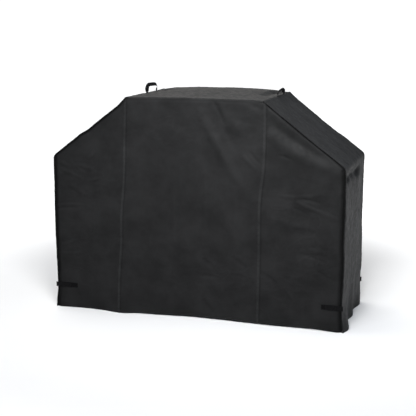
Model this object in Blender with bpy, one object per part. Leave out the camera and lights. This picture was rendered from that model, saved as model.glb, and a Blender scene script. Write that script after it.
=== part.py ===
"""Grill cover: a sewn cloth shell that stands on its hem and is open underneath.

A band of three pieces, a left side, a top and a right side, runs over the grill from hem to hem. Each side
piece bends once, at the shoulder. Three panels close the shell at the front and three at the back. Binding
tape covers the seams inside. A webbing handle is sewn into the seam at each end of the top panel, and a
hook-and-loop strap into each of the four corner seams.

Metres, +Z up. The front faces -Y and the left is -X. The origin is on the floor, under the middle.
"""

import math

import bmesh
import bpy
from mathutils import Vector

# The shell
WIDTH = 1.524  # left side to right side
DEPTH = 0.572  # front to back
HEIGHT = 1.125  # hem to top panel
TOP_WIDTH = 0.711  # top panel, left to right
SHOULDER_HEIGHT = 0.813  # hem to the bend in the side pieces

# Cloth and sewing
FABRIC = 0.0008  # one layer of coated cloth
GAP = 0.0003  # kept between pieces that touch on the real cover
HEM_HEIGHT = 0.015
HEM_LAYERS = 3  # the edge is folded over twice
TAPE_WIDTH = 0.022
TAPE_THICKNESS = 0.0006
TAPE_CLEARANCE = 0.003  # from the end of a tape to the next piece

# Handles
HANDLE_SPAN = 0.150  # outside the feet, along the seam
HANDLE_RISE = 0.042
HANDLE_SETBACK = 0.077  # middle of the handle, behind the middle of the cover
HANDLE_SQUARENESS = 3.2  # exponent of the arch: 2 is an ellipse, and more is squarer
HANDLE_TILT = math.radians(35)  # of the webbing along the crest, from level
HANDLE_TWIST_HEIGHT = 0.028  # where the twist in each leg ends
HANDLE_STATIONS = 28
WEBBING_WIDTH = 0.020
WEBBING_THICKNESS = 0.0016

# Straps and the loop patches that they close on
STRAP_LENGTH = 0.085
STRAP_WIDTH = 0.025
STRAP_THICKNESS = 0.0014
STRAP_HEIGHT = 0.125  # hem to the middle of the strap
STRAP_CORNER = 0.004
HOOK_LENGTH = 0.050
HOOK_THICKNESS = 0.0010
HOOK_MARGIN = 0.002  # strap showing round the hook tape
PATCH_LENGTH = 0.075
PATCH_INSET = 0.030  # from the corner seam
PATCH_THICKNESS = 0.0012
PATCH_CORNER = 0.002
CORNER_SEGMENTS = 3
KNUCKLE_SEGMENTS = 14

# Sizes that follow
SIDE_X = WIDTH / 2
FRONT_Y = DEPTH / 2
SEAM_X = TOP_WIDTH / 2
SLOPE = math.atan2(HEIGHT - SHOULDER_HEIGHT, SIDE_X - SEAM_X)
HEM = HEM_LAYERS * FABRIC
BAND_Y = FRONT_Y - FABRIC - GAP  # half the depth of the band
TAPE_INSET = FABRIC + GAP  # from the outside of the cloth to a tape
TOP_TAPE_Z = HEIGHT - FABRIC - TAPE_CLEARANCE - TAPE_WIDTH
HANDLE_AXIS_Z = HEIGHT + (GAP + WEBBING_THICKNESS / 2) / math.cos(SLOPE)
HOOK_OFFSET = GAP + PATCH_THICKNESS + GAP  # from the cloth to the hook tape
STRAP_OFFSET = HOOK_OFFSET + HOOK_THICKNESS + GAP  # from the cloth to the strap
STRAP_FACE = STRAP_OFFSET + STRAP_THICKNESS  # from the cloth to the outside of the strap
HINGE_OFFSET = (STRAP_FACE + GAP) / 2  # a strap swung round the corner clears the side by GAP
KNUCKLE_RADIUS = STRAP_FACE - HINGE_OFFSET

# Colour and roughness of each material
FINISHES = {
    "cover_cloth": ((0.030, 0.031, 0.033), 0.60),
    "seam_tape": ((0.018, 0.018, 0.019), 0.85),
    "webbing": ((0.008, 0.008, 0.009), 0.80),
    "hook_tape": ((0.012, 0.012, 0.013), 0.70),
    "loop_tape": ((0.010, 0.010, 0.012), 0.95),
}


def clear_scene():
    for found in list(bpy.data.objects):
        bpy.data.objects.remove(found, do_unlink=True)


def finish_material(finish):
    """The material of that name, made the first time it is asked for."""
    found = bpy.data.materials.get(finish)
    if found:
        return found
    colour, roughness = FINISHES[finish]
    made = bpy.data.materials.new(finish)
    made.use_nodes = True
    shader = made.node_tree.nodes["Principled BSDF"]
    shader.inputs["Base Color"].default_value = (*colour, 1)
    shader.inputs["Roughness"].default_value = roughness
    shader.inputs["Metallic"].default_value = 0
    return made


def add_piece(name, bm, finish, location=(0, 0, 0), parent=None):
    """Makes an object of the mesh, which holds positions measured from the location."""
    bmesh.ops.recalc_face_normals(bm, faces=bm.faces)
    mesh = bpy.data.meshes.new(name)
    bm.to_mesh(mesh)
    bm.free()
    mesh.materials.append(finish_material(finish))
    made = bpy.data.objects.new(name, mesh)
    made.location = location
    made.parent = parent
    bpy.context.scene.collection.objects.link(made)
    return made


def prism(outline, direction):
    """An outline of points in one plane, extruded by the direction."""
    bm = bmesh.new()
    face = bm.faces.new([bm.verts.new(point) for point in outline])
    extruded = bmesh.ops.extrude_face_region(bm, geom=[face])["geom"]
    moved = [item for item in extruded if isinstance(item, bmesh.types.BMVert)]
    bmesh.ops.translate(bm, verts=moved, vec=direction)
    return bm


def box(low, high):
    """A box between two corners."""
    outline = [
        (low[0], low[1], low[2]),
        (high[0], low[1], low[2]),
        (high[0], high[1], low[2]),
        (low[0], high[1], low[2]),
    ]
    return prism(outline, (0, 0, high[2] - low[2]))


def round_edges(bm, chosen, radius):
    """Rounds the edges that run along Y and whose middle point is chosen."""
    edges = []
    for edge in bm.edges:
        start, end = edge.verts[0].co, edge.verts[1].co
        runs_along_y = abs(start.y - end.y) > GAP and (start - end).to_2d().x == 0 and start.z == end.z
        if runs_along_y and chosen((start + end) / 2):
            edges.append(edge)
    bmesh.ops.bevel(bm, geom=edges, offset=radius, segments=CORNER_SEGMENTS, profile=0.5, affect="EDGES")


def slope_point(distance, inset):
    """A point on the right slope in XZ: so far down it from the top seam, and so far inside the cloth."""
    x = SEAM_X + distance * math.cos(SLOPE) - inset * math.sin(SLOPE)
    z = HEIGHT - distance * math.sin(SLOPE) - inset * math.cos(SLOPE)
    return x, z


def shoulder_point(inset):
    """The bend of the right side in XZ, so far inside the cloth."""
    return SIDE_X - inset, SHOULDER_HEIGHT - inset * math.tan(math.pi / 4 - SLOPE / 2)


def fold_hem(bm, inner_y, x_limit, towards_inside):
    """Thickens a front or back panel to the hem's layers, along its foot and as far out as x_limit."""
    for plane_point, normal in (((0, 0, HEM_HEIGHT), (0, 0, 1)), ((x_limit, 0, 0), (1, 0, 0))):
        everything = bm.verts[:] + bm.edges[:] + bm.faces[:]
        bmesh.ops.bisect_plane(bm, geom=everything, plane_co=plane_point, plane_no=normal, dist=1e-6)
    folded = []
    for face in bm.faces:
        middle = face.calc_center_median()
        on_inner_face = all(abs(vert.co.y - inner_y) < GAP / 2 for vert in face.verts)
        if on_inner_face and middle.z < HEM_HEIGHT and abs(middle.x) < abs(x_limit):
            folded.append(face)
    extruded = bmesh.ops.extrude_face_region(bm, geom=folded)["geom"]
    moved = [item for item in extruded if isinstance(item, bmesh.types.BMVert)]
    bmesh.ops.translate(bm, verts=moved, vec=(0, towards_inside * (HEM - FABRIC), 0))
    bmesh.ops.delete(bm, geom=folded, context="FACES_ONLY")


def add_end_panels(name, facing):
    """The three upright panels of the front, which faces -1, or of the back, which faces 1."""
    outer_y = facing * FRONT_Y
    inner_y = facing * (FRONT_Y - FABRIC)
    inwards = (0, inner_y - outer_y, 0)
    edge = SEAM_X - GAP / 2
    outline = [(-edge, 0), (edge, 0), (edge, HEIGHT), (-edge, HEIGHT)]
    bm = prism([(x, outer_y, z) for x, z in outline], inwards)
    fold_hem(bm, inner_y, SIDE_X, -facing)
    add_piece(f"{name}_center_panel", bm, "cover_cloth")
    edge = SEAM_X + GAP / 2
    edge_height = HEIGHT - GAP / 2 * math.tan(SLOPE)
    outline = [(edge, 0), (SIDE_X, 0), (SIDE_X, SHOULDER_HEIGHT), (edge, edge_height)]
    for side_name, side in (("left", -1), ("right", 1)):
        bm = prism([(side * x, outer_y, z) for x, z in outline], inwards)
        fold_hem(bm, inner_y, side * (SIDE_X - HEM - GAP), -facing)
        add_piece(f"{name}_{side_name}_panel", bm, "cover_cloth")


def add_top_panel():
    x = SEAM_X - FABRIC * math.tan(SLOPE / 2) - GAP
    bm = box((-x, -BAND_Y, HEIGHT - FABRIC), (x, BAND_Y, HEIGHT))
    add_piece("top_panel", bm, "cover_cloth")


def add_side_panel(side_name, side):
    """Slope and side in one piece, with its hem folded inwards."""
    mitre = FABRIC * math.tan(SLOPE / 2)
    outline = [
        (SEAM_X, HEIGHT),
        (SIDE_X, SHOULDER_HEIGHT),
        (SIDE_X, 0),
        (SIDE_X - HEM, 0),
        (SIDE_X - HEM, HEM_HEIGHT),
        (SIDE_X - FABRIC, HEM_HEIGHT),
        shoulder_point(FABRIC),
        (SEAM_X - mitre, HEIGHT - FABRIC),
    ]
    bm = prism([(side * x, -BAND_Y, z) for x, z in outline], (0, 2 * BAND_Y, 0))
    add_piece(f"{side_name}_side_panel", bm, "cover_cloth")


def add_end_tapes(name, facing):
    """Tapes on the inner face of the front or back: one on each upright seam, one along the top."""
    outside = facing * (FRONT_Y - TAPE_INSET)
    inside = facing * (FRONT_Y - TAPE_INSET - TAPE_THICKNESS)
    for side_name, side in (("left", -1), ("right", 1)):
        middle = side * SEAM_X
        low = (middle - TAPE_WIDTH / 2, outside, HEM_HEIGHT + TAPE_CLEARANCE)
        high = (middle + TAPE_WIDTH / 2, inside, TOP_TAPE_Z - TAPE_CLEARANCE)
        add_piece(f"{name}_{side_name}_seam_tape", box(low, high), "seam_tape")
    x = SEAM_X - TAPE_CLEARANCE
    bm = box((-x, outside, TOP_TAPE_Z), (x, inside, TOP_TAPE_Z + TAPE_WIDTH))
    add_piece(f"{name}_top_tape", bm, "seam_tape")


def add_side_tapes(side_name, side):
    """Tapes on the inner face of a side piece: one down each corner, and one along the top seam."""
    outside = TAPE_INSET
    inside = TAPE_INSET + TAPE_THICKNESS
    foot = HEM_HEIGHT + TAPE_CLEARANCE
    down_the_corner = [
        slope_point(TAPE_CLEARANCE, outside),
        shoulder_point(outside),
        (SIDE_X - outside, foot),
        (SIDE_X - inside, foot),
        shoulder_point(inside),
        slope_point(TAPE_CLEARANCE, inside),
    ]
    for end_name, facing in (("front", -1), ("back", 1)):
        outline = [(side * x, facing * BAND_Y, z) for x, z in down_the_corner]
        bm = prism(outline, (0, -facing * TAPE_WIDTH, 0))
        add_piece(f"{end_name}_{side_name}_corner_tape", bm, "seam_tape")
    along_the_top = [
        slope_point(TAPE_CLEARANCE, outside),
        slope_point(TAPE_CLEARANCE + TAPE_WIDTH, outside),
        slope_point(TAPE_CLEARANCE + TAPE_WIDTH, inside),
        slope_point(TAPE_CLEARANCE, inside),
    ]
    y = BAND_Y - TAPE_WIDTH - TAPE_CLEARANCE
    bm = prism([(side * x, -y, z) for x, z in along_the_top], (0, 2 * y, 0))
    add_piece(f"{side_name}_top_tape", bm, "seam_tape")


def arch_point(turn):
    """A point on the middle line of a handle in YZ, from the front foot at 0 to the back foot at pi."""
    half_span = (HANDLE_SPAN - WEBBING_WIDTH) / 2
    power = 2 / HANDLE_SQUARENESS
    y = -math.copysign(abs(math.cos(turn)) ** power, math.cos(turn)) * half_span
    z = abs(math.sin(turn)) ** power * HANDLE_RISE
    return Vector((0, y, z))


def add_handle(side_name, side):
    """A loop of webbing. It lies along the seam at its feet and turns to face up along the crest."""
    points = [arch_point(math.pi * i / HANDLE_STATIONS) for i in range(HANDLE_STATIONS + 1)]
    points[0].z = 0
    points[-1].z = 0
    bm = bmesh.new()
    rings = []
    for i, point in enumerate(points):
        along = points[min(i + 1, HANDLE_STATIONS)] - points[max(i - 1, 0)]
        if i in (0, HANDLE_STATIONS):
            along = Vector((0, 0, 1 if i == 0 else -1))
        along.normalize()
        outwards = Vector((0, -along.z, along.y))
        rise = min(point.z / HANDLE_TWIST_HEIGHT, 1)
        eased = rise * rise * (3 - 2 * rise)
        twist = math.pi / 2 + (HANDLE_TILT - math.pi / 2) * eased
        across = Vector((math.cos(twist) * side, 0, 0)) + outwards * math.sin(twist)
        through = Vector((-math.sin(twist) * side, 0, 0)) + outwards * math.cos(twist)
        corners = [(-1, -1), (1, -1), (1, 1), (-1, 1)]
        ring = []
        for a, t in corners:
            offset = across * (a * WEBBING_WIDTH / 2) + through * (t * WEBBING_THICKNESS / 2)
            ring.append(bm.verts.new(point + offset))
        rings.append(ring)
    bm.faces.new(rings[0])
    bm.faces.new(rings[-1])
    for first, second in zip(rings, rings[1:]):
        for i in range(len(first)):
            bm.faces.new((first[i - 1], first[i], second[i], second[i - 1]))
    location = (side * SEAM_X, HANDLE_SETBACK, HANDLE_AXIS_Z)
    add_piece(f"{side_name}_handle", bm, "webbing", location)


def add_strap(name, side, facing):
    """A strap with its hook tape, at rest against the panel. Its origin is the middle of its sewn root."""
    strap_inside = KNUCKLE_RADIUS - STRAP_THICKNESS
    sweep = 3 * math.pi / 2 + math.asin(strap_inside / KNUCKLE_RADIUS)
    outline = [(-STRAP_LENGTH, strap_inside), (-STRAP_LENGTH, KNUCKLE_RADIUS)]
    for i in range(KNUCKLE_SEGMENTS + 1):
        angle = math.pi / 2 - sweep * i / KNUCKLE_SEGMENTS
        outline.append((KNUCKLE_RADIUS * math.cos(angle), KNUCKLE_RADIUS * math.sin(angle)))
    foot = -STRAP_WIDTH / 2
    bm = prism([(side * x, facing * y, foot) for x, y in outline], (0, 0, STRAP_WIDTH))
    round_edges(bm, lambda middle: abs(middle.x) > STRAP_LENGTH - GAP, STRAP_CORNER)
    location = (
        side * (SIDE_X + HINGE_OFFSET),
        facing * (FRONT_Y + HINGE_OFFSET),
        STRAP_HEIGHT,
    )
    strap = add_piece(f"{name}_strap", bm, "webbing", location)
    hook_end = side * (HOOK_MARGIN - STRAP_LENGTH)
    hook_start = side * (HOOK_MARGIN - STRAP_LENGTH + HOOK_LENGTH)
    hook_outside = facing * (strap_inside - GAP)
    hook_inside = facing * (strap_inside - GAP - HOOK_THICKNESS)
    half_width = STRAP_WIDTH / 2 - HOOK_MARGIN
    bm = box((hook_end, hook_inside, -half_width), (hook_start, hook_outside, half_width))
    add_piece(f"{name}_hook_tape", bm, "hook_tape", parent=strap)


def add_patch(name, side, facing):
    """The loop patch sewn to the outside of a panel, under the strap."""
    near = side * (SIDE_X - PATCH_INSET)
    far = side * (SIDE_X - PATCH_INSET - PATCH_LENGTH)
    inside = facing * (FRONT_Y + GAP)
    outside = facing * (FRONT_Y + GAP + PATCH_THICKNESS)
    low = (far, inside, STRAP_HEIGHT - STRAP_WIDTH / 2)
    high = (near, outside, STRAP_HEIGHT + STRAP_WIDTH / 2)
    bm = box(low, high)
    round_edges(bm, lambda middle: True, PATCH_CORNER)
    add_piece(f"{name}_loop_patch", bm, "loop_tape")


clear_scene()
add_top_panel()
for end_name, facing in (("front", -1), ("back", 1)):
    add_end_panels(end_name, facing)
    add_end_tapes(end_name, facing)
for side_name, side in (("left", -1), ("right", 1)):
    add_side_panel(side_name, side)
    add_side_tapes(side_name, side)
    add_handle(side_name, side)
    for end_name, facing in (("front", -1), ("back", 1)):
        add_strap(f"{end_name}_{side_name}", side, facing)
        add_patch(f"{end_name}_{side_name}", side, facing)
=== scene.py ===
import math

import bmesh
import bpy
import numpy as np
from mathutils import Matrix, Vector


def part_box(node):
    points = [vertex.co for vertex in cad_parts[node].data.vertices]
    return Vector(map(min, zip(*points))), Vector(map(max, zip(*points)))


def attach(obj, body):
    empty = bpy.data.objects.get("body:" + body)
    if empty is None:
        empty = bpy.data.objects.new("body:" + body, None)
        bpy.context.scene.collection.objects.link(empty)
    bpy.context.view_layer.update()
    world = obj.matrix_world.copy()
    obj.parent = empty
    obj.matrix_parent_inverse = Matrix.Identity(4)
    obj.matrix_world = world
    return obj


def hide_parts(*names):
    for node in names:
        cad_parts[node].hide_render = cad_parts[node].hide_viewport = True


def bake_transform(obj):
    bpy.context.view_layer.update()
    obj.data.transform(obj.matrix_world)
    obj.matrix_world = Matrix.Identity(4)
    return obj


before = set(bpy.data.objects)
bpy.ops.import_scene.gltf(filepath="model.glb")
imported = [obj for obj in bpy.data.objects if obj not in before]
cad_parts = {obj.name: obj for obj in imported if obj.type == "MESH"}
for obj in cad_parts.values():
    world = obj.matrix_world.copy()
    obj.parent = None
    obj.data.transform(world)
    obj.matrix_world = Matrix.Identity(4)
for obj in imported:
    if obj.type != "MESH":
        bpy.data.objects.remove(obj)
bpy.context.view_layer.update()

# ------------------------------------------------------------------------------------------------------
# The view: a camera a little above the cover's shoulders and to its right, as someone standing back from
# the patio would see it.
# ------------------------------------------------------------------------------------------------------
VIEW_TURN = math.radians(17.36)
VIEW_RISE = math.radians(11.37)
VIEW_DISTANCE = 5.319
VIEW_TARGET = Vector((-0.013, 0.0, 0.525))
VIEW_LENS = 87.04

view_direction = Vector((
    math.sin(VIEW_TURN) * math.cos(VIEW_RISE),
    -math.cos(VIEW_TURN) * math.cos(VIEW_RISE),
    math.sin(VIEW_RISE),
))
camera = bpy.data.objects.new("camera", bpy.data.cameras.new("camera"))
camera.location = VIEW_TARGET + view_direction * VIEW_DISTANCE
camera.rotation_euler = (-view_direction).to_track_quat("-Z", "Y").to_euler()
camera.data.lens = VIEW_LENS
camera.data.sensor_width = 36
camera.data.clip_end = 60
bpy.context.scene.collection.objects.link(camera)
bpy.context.scene.camera = camera

# ------------------------------------------------------------------------------------------------------
# The shell: coated polyester, cut as a band that runs over the grill from hem to hem and is closed by a
# front and a back. The band lies along s, measured round it from the middle of the top, and along y.
# The front and back lie along x, and along v, which runs from 0 at the hem to 1 at the band.
# ------------------------------------------------------------------------------------------------------
front_low, front_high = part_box("front_center_panel")
side_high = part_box("right_side_panel")[1]
shoulder_points = [v.co.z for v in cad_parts["front_right_panel"].data.vertices
                   if v.co.x > side_high.x - 0.0001]
SIDE_X = side_high.x
FRONT_Y = -front_low.y
SEAM_X = front_high.x
HEIGHT = front_high.z
SHOULDER_Z = max(shoulder_points)
SLOPE = math.atan2(HEIGHT - SHOULDER_Z, SIDE_X - SEAM_X)
CLOTH = 0.0008
TOP_BEND = 0.007  # radius where the slope leaves the top
SHOULDER_BEND = 0.030
BAND_STEP = 0.0005

top_run = SEAM_X - TOP_BEND * math.tan(SLOPE / 2)
slope_run = (math.hypot(HEIGHT - SHOULDER_Z, SIDE_X - SEAM_X) - TOP_BEND * math.tan(SLOPE / 2)
             - SHOULDER_BEND * math.tan((math.pi / 2 - SLOPE) / 2))
drop_run = SHOULDER_Z - SHOULDER_BEND * math.tan((math.pi / 2 - SLOPE) / 2)
run_ends = np.cumsum([0, top_run, TOP_BEND * SLOPE, slope_run,
                      SHOULDER_BEND * (math.pi / 2 - SLOPE), drop_run])
band_s = np.arange(0, run_ends[-1] + BAND_STEP, BAND_STEP)
band_s[-1] = run_ends[-1]
band_angle = np.interp(band_s, run_ends, [0, 0, SLOPE, SLOPE, math.pi / 2, math.pi / 2])
middle_angle = (band_angle[1:] + band_angle[:-1]) / 2
band_x = np.concatenate([[0], np.cumsum(np.cos(middle_angle) * np.diff(band_s))])
band_z = HEIGHT - np.concatenate([[0], np.cumsum(np.sin(middle_angle) * np.diff(band_s))])
BAND_END = run_ends[-1]
BAND_SEAM = (run_ends[1] + run_ends[2]) / 2  # where the top panel meets a side piece
UPRIGHT_Z = drop_run  # the side is upright below this height


def band_point(s):
    """x, z and the angle of the outward direction from upright, at a distance s round the band."""
    along = np.abs(s)
    x = np.sign(s) * np.interp(along, band_s, band_x)
    z = np.interp(along, band_s, band_z)
    return x, np.maximum(z, 0), np.interp(along, band_s, band_angle)


def band_height(x):
    """Height of the band over a point x of the front."""
    over = band_s <= run_ends[4]
    return np.interp(np.abs(x), band_x[over], band_z[over])


def edge_distance(x, z):
    """How far a point of the front is inside the band, and the band's outward angle there."""
    x = np.abs(x)
    to_top = HEIGHT - z
    to_slope = math.sin(SLOPE) * (SIDE_X - x) + math.cos(SLOPE) * (SHOULDER_Z - z)
    to_side = SIDE_X - x
    distance = np.minimum(np.minimum(to_top, to_slope), to_side)
    angle = np.where(to_top <= distance, 0, np.where(to_slope <= distance, SLOPE, math.pi / 2))
    bends = (
        (top_run, HEIGHT - TOP_BEND, TOP_BEND, 0, SLOPE),
        (SIDE_X - SHOULDER_BEND, UPRIGHT_Z, SHOULDER_BEND, SLOPE, math.pi / 2),
    )
    for bend_x, bend_z, radius, first, last in bends:
        reach = np.hypot(x - bend_x, z - bend_z)
        facing = np.arctan2(x - bend_x, z - bend_z)
        inside = (facing >= first) & (facing <= last) & (reach > radius * 0.05)
        distance = np.where(inside, radius - reach, distance)
        angle = np.where(inside, facing, angle)
    return np.maximum(distance, 0), angle


def ease(t):
    """0 to 1, slow at both ends."""
    t = np.clip(t, 0, 1)
    return t * t * (3 - 2 * t)


def between(value, low, high, soft):
    """1 between low and high, falling to 0 over the distance soft outside them."""
    return ease((value - low) / soft + 1) * ease((high - value) / soft + 1)


def peak(value, at, width):
    """1 where the value is at a place, fading away from it on both sides."""
    return np.exp(-((value - at) / width) ** 2)


def net(rows, columns):
    """The row and the column of each place in a grid."""
    return np.meshgrid(rows, columns, indexing="ij")


def unit(vectors):
    """The same directions, at length 1."""
    return vectors / np.maximum(np.linalg.norm(vectors, axis=-1, keepdims=True), 1e-12)


def travelled(points):
    """Distance along a path at each of its points."""
    return np.concatenate([[0], np.cumsum(np.linalg.norm(np.diff(points, axis=0), axis=1))])


def curve(at, knots, values, slopes):
    """Places on a smooth curve that has the given values and slopes at its knots."""
    i = np.clip(np.searchsorted(knots, at, side="right") - 1, 0, len(knots) - 2)
    width = knots[i + 1] - knots[i]
    t = (at - knots[i]) / width
    if values.ndim > 1:
        width, t = width[:, None], t[:, None]
    return ((1 + 2 * t) * (1 - t) ** 2 * values[i] + t * (1 - t) ** 2 * width * slopes[i]
            + t * t * (3 - 2 * t) * values[i + 1] + t * t * (t - 1) * width * slopes[i + 1])


def smooth_line(x, points):
    """A smooth curve through a few (x, height) points, level at both ends."""
    px, pz = np.array(points, float).T
    slope = np.gradient(pz, px)
    slope[0] = slope[-1] = 0
    return curve(np.clip(x, px[0], px[-1]), px, pz, slope)


def grain(x, y, z, size, seed):
    """Smooth noise from about -1 to 1 whose lumps are the given size, in metres."""
    at = np.stack(np.broadcast_arrays(x, y, z), -1) / size + seed * 17.31
    cell = np.floor(at).astype(np.int64)
    part = at - cell
    fade = part ** 3 * (part * (part * 6 - 15) + 10)
    total = np.zeros(part.shape[:-1])
    for corner in range(8):
        step = np.array([corner & 1, corner >> 1 & 1, corner >> 2])
        key = ((cell + step) * np.array([73856093, 19349663, 83492791])).sum(-1)
        key = ((key ^ key >> 13) * 1274126177) & 0x7FFFFFFF
        key = (key ^ key >> 15) & 0xFFFFF
        turn, level = (key & 1023) * (math.tau / 1024), (key >> 10) / 512 - 1
        flat = np.sqrt(np.clip(1 - level ** 2, 0, 1))
        pull = np.stack([np.cos(turn) * flat, np.sin(turn) * flat, level], -1)
        total += np.where(step, fade, 1 - fade).prod(-1) * ((part - step) * pull).sum(-1)
    return total * 1.6


def creases(x, z, size, seed):
    """Sharp little ridges that wander and fork, as in cloth that has been kept folded: 0 to 1."""
    bend = grain(x, 1, z, size * 1.5, seed + 3) * size * 0.7
    lumps = grain((x + bend) / 1.6, 0, z + bend * 0.6, size, seed)
    return np.clip(1 - 3.0 * np.abs(lumps), 0, 1) ** 1.6


def fold(x, z, path, width, height):
    """A soft ridge, or a valley where height is negative, along a curve through three points."""
    x0, z0, xm, zm, x1, z1 = path
    bend_x, bend_z = 2 * xm - (x0 + x1) / 2, 2 * zm - (z0 + z1) / 2
    nearest = np.full(np.shape(x), 9.0)
    along = np.zeros(np.shape(x))
    steps = np.linspace(0, 1, 21)
    on_x = (1 - steps) ** 2 * x0 + 2 * steps * (1 - steps) * bend_x + steps ** 2 * x1
    on_z = (1 - steps) ** 2 * z0 + 2 * steps * (1 - steps) * bend_z + steps ** 2 * z1
    for k in range(20):
        run_x, run_z = on_x[k + 1] - on_x[k], on_z[k + 1] - on_z[k]
        share = np.clip(((x - on_x[k]) * run_x + (z - on_z[k]) * run_z) / (run_x ** 2 + run_z ** 2), 0, 1)
        reach = np.hypot(x - on_x[k] - share * run_x, z - on_z[k] - share * run_z)
        closer = reach < nearest
        nearest = np.where(closer, reach, nearest)
        along = np.where(closer, (k + share) / 20, along)
    ends = np.sqrt(np.clip(np.sin(math.pi * np.clip(along, 0.02, 0.98)), 0, 1))
    return height * ends * peak(nearest, 0, width)


# How the front hangs: (x, out from the flat) along the hem, in metres, and the folds in the cloth above
# it, in millimetres: x and z of three points along each, its width, and its height.
FRONT_HEM = [(-0.77, -0.004), (-0.62, -0.010), (-0.50, -0.006), (-0.40, 0.012), (-0.29, -0.006),
             (-0.12, -0.018), (0.0, -0.030), (0.16, -0.022), (0.36, -0.014), (0.60, -0.012), (0.77, -0.003)]
FRONT_FOLDS = [
    (45, 1050, 139, 885, 250, 710, 25, 9.5), (130, 1100, 185, 1030, 275, 950, 32, 8),
    (100, 1120, 133, 1071, 165, 1010, 11, -4.5), (165, 1000, 190, 940, 240, 870, 22, -4),
    (255, 865, 285, 830, 330, 790, 12, 3.5), (290, 880, 315, 850, 345, 820, 9, -2.8),
    (245, 1118, 300, 1105, 355, 1085, 14, -3.5), (360, 985, 510, 880, 745, 790, 32, 10),
    (370, 1045, 520, 935, 735, 822, 24, -7.5), (430, 868, 465, 862, 500, 850, 8, -3),
    (440, 674, 542, 667, 650, 690, 10, 3.4), (515, 648, 592, 615, 720, 573, 10, 4.5),
    (525, 662, 585, 655, 645, 642, 9, -3.5), (505, 615, 545, 602, 590, 584, 10, -3),
    (420, 550, 520, 530, 640, 522, 22, 5.5), (545, 385, 580, 378, 620, 380, 12, -3.5),
    (600, 372, 635, 362, 680, 345, 10, -3.5), (630, 300, 668, 284, 720, 262, 10, -3.5),
    (585, 415, 620, 405, 680, 398, 14, 4), (485, 190, 503, 170, 520, 145, 10, 4),
    (350, 270, 400, 246, 430, 215, 12, -4.2), (195, 350, 240, 318, 280, 288, 13, -3.6),
    (35, 320, 75, 300, 115, 276, 14, -3.6), (180, 252, 230, 249, 285, 240, 10, -3),
    (10, 226, 60, 232, 115, 230, 10, -3), (40, 110, 65, 70, 100, 30, 18, -5),
    (-735, 790, -710, 780, -680, 770, 8, 4), (-710, 745, -660, 725, -600, 706, 9, 4.2),
    (-670, 672, -630, 645, -585, 622, 12, 5.2), (-755, 552, -690, 562, -610, 566, 7, 3.6),
    (-750, 535, -700, 545, -640, 548, 7, -3), (-625, 772, -580, 765, -535, 748, 10, 3.6),
    (-585, 690, -540, 700, -490, 716, 10, 3.6), (-575, 806, -555, 820, -535, 842, 10, 4),
    (-740, 340, -700, 355, -640, 375, 10, 3.2), (-740, 300, -690, 300, -620, 306, 9, 3),
    (-97, 800, -100, 600, -100, 380, 15, 1.7), (61, 800, 64, 600, 61, 400, 15, 1.7),
    (216, 720, 219, 580, 217, 420, 15, 1.5),
]
# Where the cloth is most crumpled: middle x and z, how wide and how high, and how much.
FRONT_CRUMPLES = [(-0.62, 0.72, 0.13, 0.11, 1.0), (-0.60, 0.32, 0.16, 0.16, 0.55),
                  (0.62, 0.38, 0.13, 0.15, 1.0), (0.50, 0.18, 0.14, 0.08, 0.7),
                  (0.14, 0.24, 0.22, 0.08, 0.7), (-0.10, 0.98, 0.24, 0.10, 0.35),
                  (0.55, 0.60, 0.18, 0.08, 0.5), (0.30, 1.00, 0.12, 0.10, 0.4)]
BACK_CRUMPLES = [(0.55, 0.60, 0.16, 0.16, 0.9), (-0.55, 0.35, 0.16, 0.16, 0.9),
                 (0.0, 0.25, 0.24, 0.10, 0.7), (-0.1, 0.85, 0.25, 0.12, 0.4)]
BACK_HEM = [(-0.77, -0.003), (-0.55, -0.012), (-0.30, 0.010), (-0.05, -0.022), (0.20, -0.016),
            (0.42, 0.008), (0.60, -0.010), (0.77, -0.004)]
BACK_FOLDS = [
    (-100, 1100, -20, 900, 20, 620, 28, -7), (-300, 1080, -220, 900, -60, 700, 30, 6),
    (-340, 1000, -520, 900, -750, 800, 28, 8), (-420, 880, -560, 800, -720, 740, 26, -5.5),
    (750, 800, 620, 720, 500, 550, 20, 6), (740, 780, 620, 790, 450, 830, 16, 4.5),
    (300, 950, 240, 700, 260, 400, 30, 4), (700, 450, 580, 400, 420, 420, 18, 3.5),
    (-700, 400, -580, 340, -440, 360, 20, -3.5), (20, 450, 60, 250, 20, 50, 30, 5),
    (-200, 500, -220, 300, -260, 60, 28, -5),
]
REACH = 0.15  # how far round an edge a panel's own folds carry
CALM = 0.080  # over which folds die away towards a strap
STRAP_REACH = 0.110  # how far along an end the folds are calmed for a strap
SWING_REACH = 0.125  # how far along a side, where a strap swings onto it
HANDLE_ROOM = 0.0050  # how far the top dips where a handle can lie on it


def near_straps(x, y, z):
    """1 where a strap lies on the front or back, or swings round onto a side."""
    strap_low, strap_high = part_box("front_right_strap")
    level = between(z, strap_low.z, strap_high.z, CALM)
    on_end = between(np.abs(x), SIDE_X - STRAP_REACH, SIDE_X + 1, CALM)
    on_side = between(np.abs(y), FRONT_Y - SWING_REACH, FRONT_Y + 1, CALM)
    return level * on_end * on_side


def near_handles(x, y):
    """1 where a handle can be folded down onto the end of the top."""
    handle_low, handle_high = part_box("left_handle")
    beside = between(np.abs(x), SEAM_X - 0.050, SEAM_X + 1, 0.050)
    return beside * between(y, handle_low.y - 0.010, handle_high.y + 0.010, 0.060)


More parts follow.
